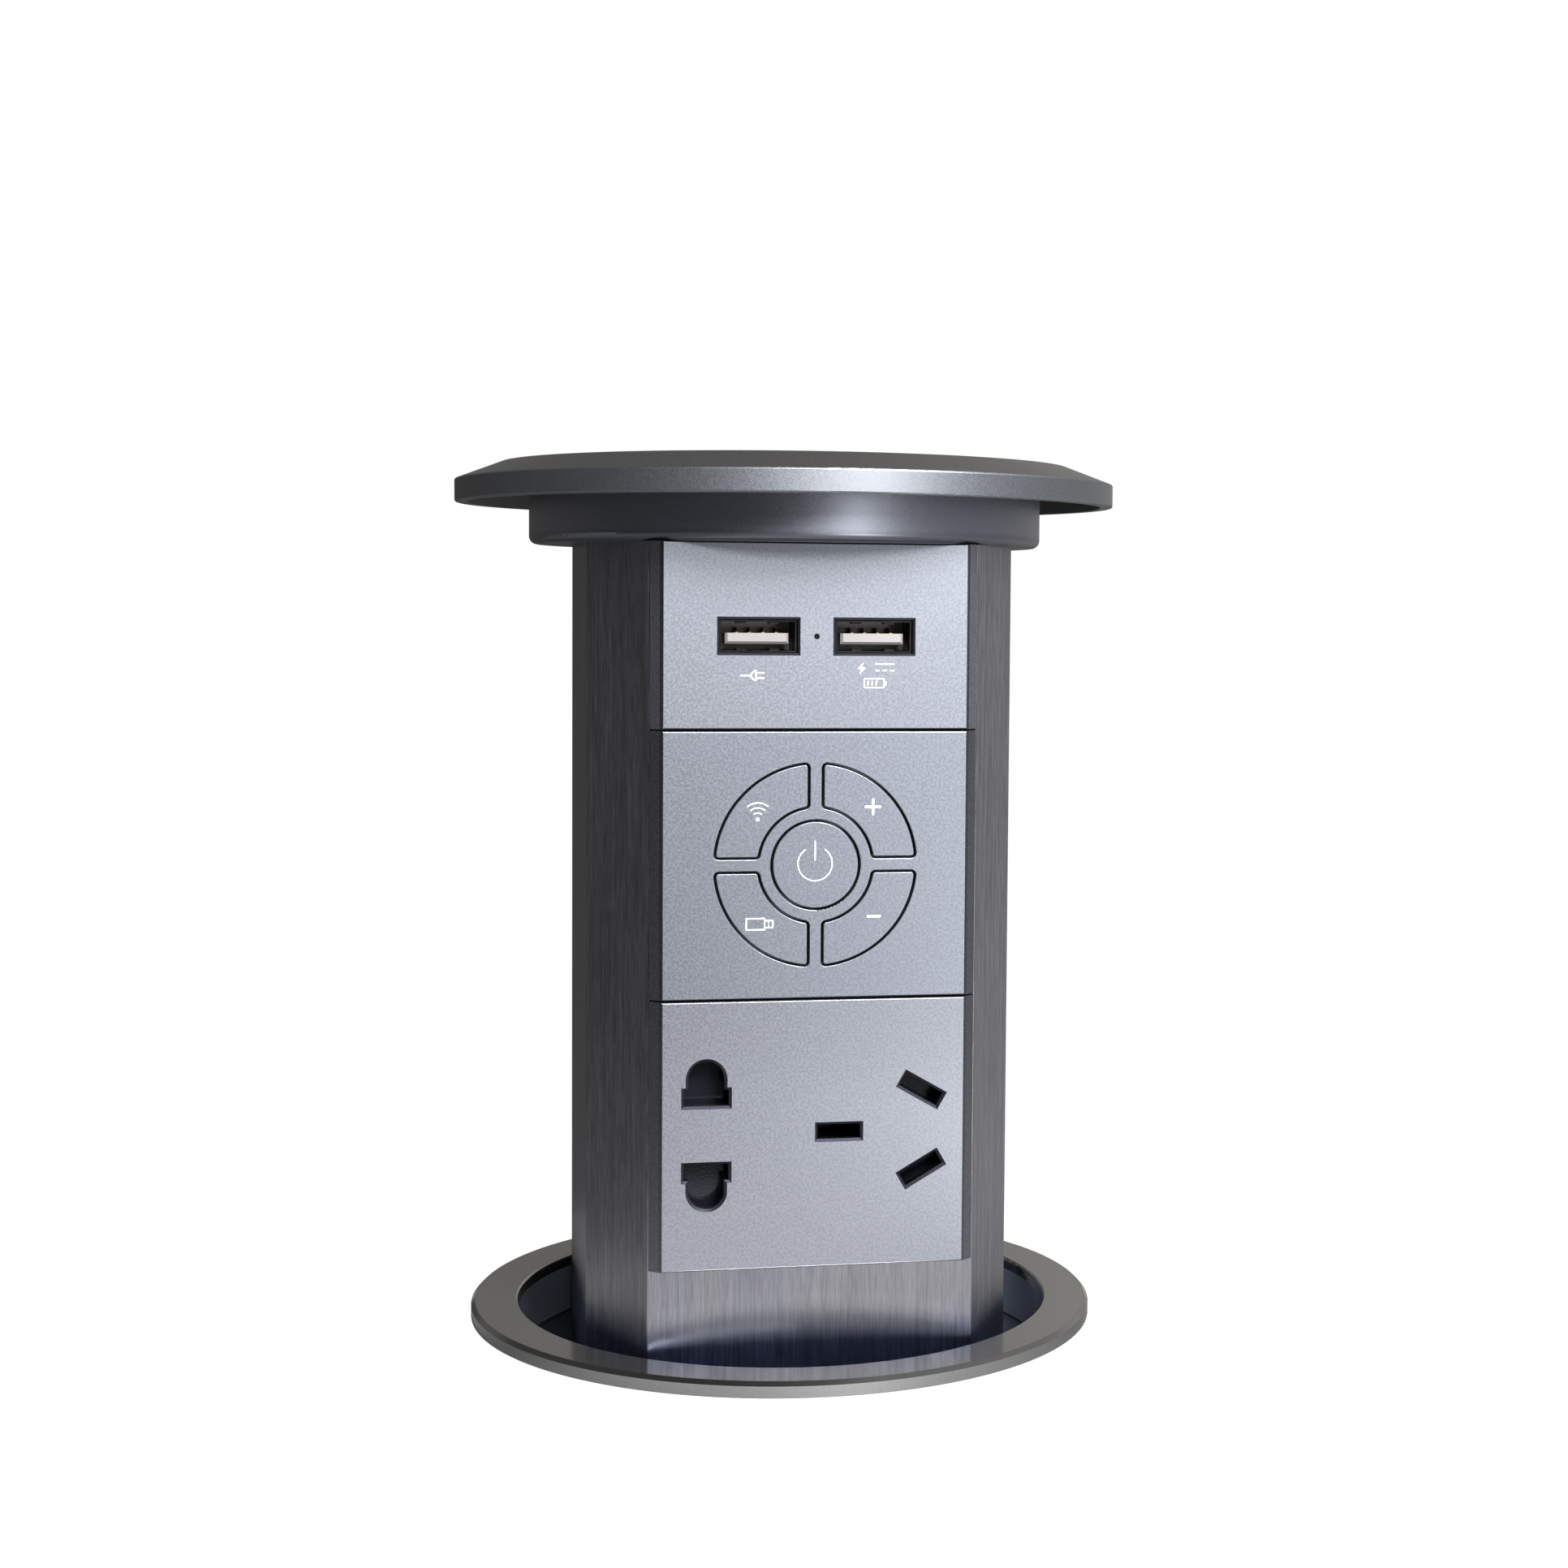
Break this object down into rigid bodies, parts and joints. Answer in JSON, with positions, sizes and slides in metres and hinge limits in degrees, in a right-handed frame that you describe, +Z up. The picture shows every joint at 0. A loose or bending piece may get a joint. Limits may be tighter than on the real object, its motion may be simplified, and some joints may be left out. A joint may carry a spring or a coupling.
{
  "type": "pop-up desk socket",
  "caption": "Round-lidded tower that rises through a desk ring on a gas spring, with USB charging ports, a speaker keypad and shuttered mains sockets.",
  "frame": {"origin": "on the tower's axis at the top surface of the desk, where the ring's underside rests", "axes": "+Z up along the tower's axis, -Y towards the front panels, +X to the right seen from the front"},
  "size_m": [0.123, 0.123, 0.3599],
  "materials": {
    "brushed_body": "anodised gunmetal, brushed along the tower",
    "panel_paint": "fine-grained metallic lacquer, satin",
    "lid_paint": "dark metallic lacquer, satin",
    "black_plastic": "moulded, fine matte",
    "grey_plastic": "moulded, semi-gloss",
    "white_plastic": "moulded, satin",
    "steel": "zinc plated",
    "brass": "bright rolled strip",
    "circuit_board": "green solder mask",
    "rubber": "matte",
    "ferrite": "matte ferrite",
    "clear_light": "clear light pipe"
  },
  "bodies": {
    "housing": {"desk_ring": "lid_paint", "housing_barrel": "black_plastic", "housing_floor": "black_plastic", "floor_screws": "steel", "gas_rod": "steel", "gas_piston": "steel", "rod_nut": "steel", "latch_bracket": "steel", "latch_pins": "steel", "mains_gland": "black_plastic", "terminal_block": "white_plastic"},
    "clamp": {"clamp_washer": "rubber", "clamp_nut": "black_plastic"},
    "left_jaw": {"latch_jaw_left": "steel"},
    "right_jaw": {"latch_jaw_right": "steel"},
    "tower": {"tower_profile": "brushed_body", "tower_foot": "black_plastic", "foot_screws": "steel", "latch_striker": "steel", "gas_cylinder": "steel", "gas_seal": "rubber", "lid_collar": "grey_plastic", "collar_screws": "steel", "lid_cover": "lid_paint", "usb_panel": "panel_paint", "usb_shell_left": "steel", "usb_shell_right": "steel", "usb_tongue_left": "white_plastic", "usb_tongue_right": "white_plastic", "usb_contacts": "brass", "usb_board": "circuit_board", "status_led": "clear_light", "control_panel": "panel_paint", "control_board": "circuit_board", "control_screws": "steel", "tact_switches": "black_plastic", "control_chips": "black_plastic", "socket_panel": "panel_paint", "socket_body": "black_plastic", "line_contact": "brass", "neutral_contact": "brass", "earth_contact": "brass", "socket_cover": "black_plastic", "socket_screws": "steel", "speaker_panel": "panel_paint", "speaker_frame": "black_plastic", "speaker_cone": "rubber", "speaker_magnet": "ferrite", "speaker_screws": "steel", "rear_panel": "panel_paint", "power_board": "circuit_board", "power_screws": "steel", "power_parts": "ferrite"},
    "power_key": {"power_button": "panel_paint"},
    "volume_up_key": {"volume_up_button": "panel_paint"},
    "volume_down_key": {"volume_down_button": "panel_paint"},
    "source_key": {"source_button": "panel_paint"},
    "input_key": {"input_button": "panel_paint"},
    "two_pin_gate": {"two_pin_shutter": "grey_plastic"},
    "three_pin_gate": {"three_pin_shutter": "grey_plastic"}
  },
  "joints": [
    {"name": "tower_slide", "type": "slide", "parent": "housing", "child": "tower", "axis": [0, 0, 1], "range_m": [-0.1472, 0], "stiffness_N_per_m": 50, "springref_m": 0.55},
    {"name": "clamp_slide", "type": "slide", "parent": "housing", "child": "clamp", "axis": [0, 0, 1], "range_m": [-0.035, 0.011]},
    {"name": "left_jaw_pivot", "type": "hinge", "parent": "housing", "child": "left_jaw", "pos_m": [-0.008, 0.027, -0.181], "axis": [0, 1, 0], "range_deg": [0, 16], "stiffness_Nm_per_rad": 0.01},
    {"name": "right_jaw_pivot", "type": "hinge", "parent": "housing", "child": "right_jaw", "pos_m": [0.008, 0.027, -0.181], "axis": [0, 1, 0], "range_deg": [-16, 0], "stiffness_Nm_per_rad": 0.01},
    {"name": "power_press", "type": "slide", "parent": "tower", "child": "power_key", "axis": [0, 1, 0], "range_m": [0, 0.0005], "stiffness_N_per_m": 800, "springref_m": -0.0004},
    {"name": "volume_up_press", "type": "slide", "parent": "tower", "child": "volume_up_key", "axis": [0, 1, 0], "range_m": [0, 0.0005], "stiffness_N_per_m": 800, "springref_m": -0.0004},
    {"name": "volume_down_press", "type": "slide", "parent": "tower", "child": "volume_down_key", "axis": [0, 1, 0], "range_m": [0, 0.0005], "stiffness_N_per_m": 800, "springref_m": -0.0004},
    {"name": "source_press", "type": "slide", "parent": "tower", "child": "source_key", "axis": [0, 1, 0], "range_m": [0, 0.0005], "stiffness_N_per_m": 800, "springref_m": -0.0004},
    {"name": "input_press", "type": "slide", "parent": "tower", "child": "input_key", "axis": [0, 1, 0], "range_m": [0, 0.0005], "stiffness_N_per_m": 800, "springref_m": -0.0004},
    {"name": "two_pin_gate_slide", "type": "slide", "parent": "tower", "child": "two_pin_gate", "axis": [1, 0, 0], "range_m": [0, 0.0092], "stiffness_N_per_m": 60, "springref_m": -0.002},
    {"name": "three_pin_gate_slide", "type": "slide", "parent": "tower", "child": "three_pin_gate", "axis": [0, 0, -1], "range_m": [0, 0.007], "stiffness_N_per_m": 60, "springref_m": -0.002}
  ],
  "couplings": [
    {"joint": "right_jaw_pivot", "follows": "left_jaw_pivot", "ratio": -1}
  ]
}
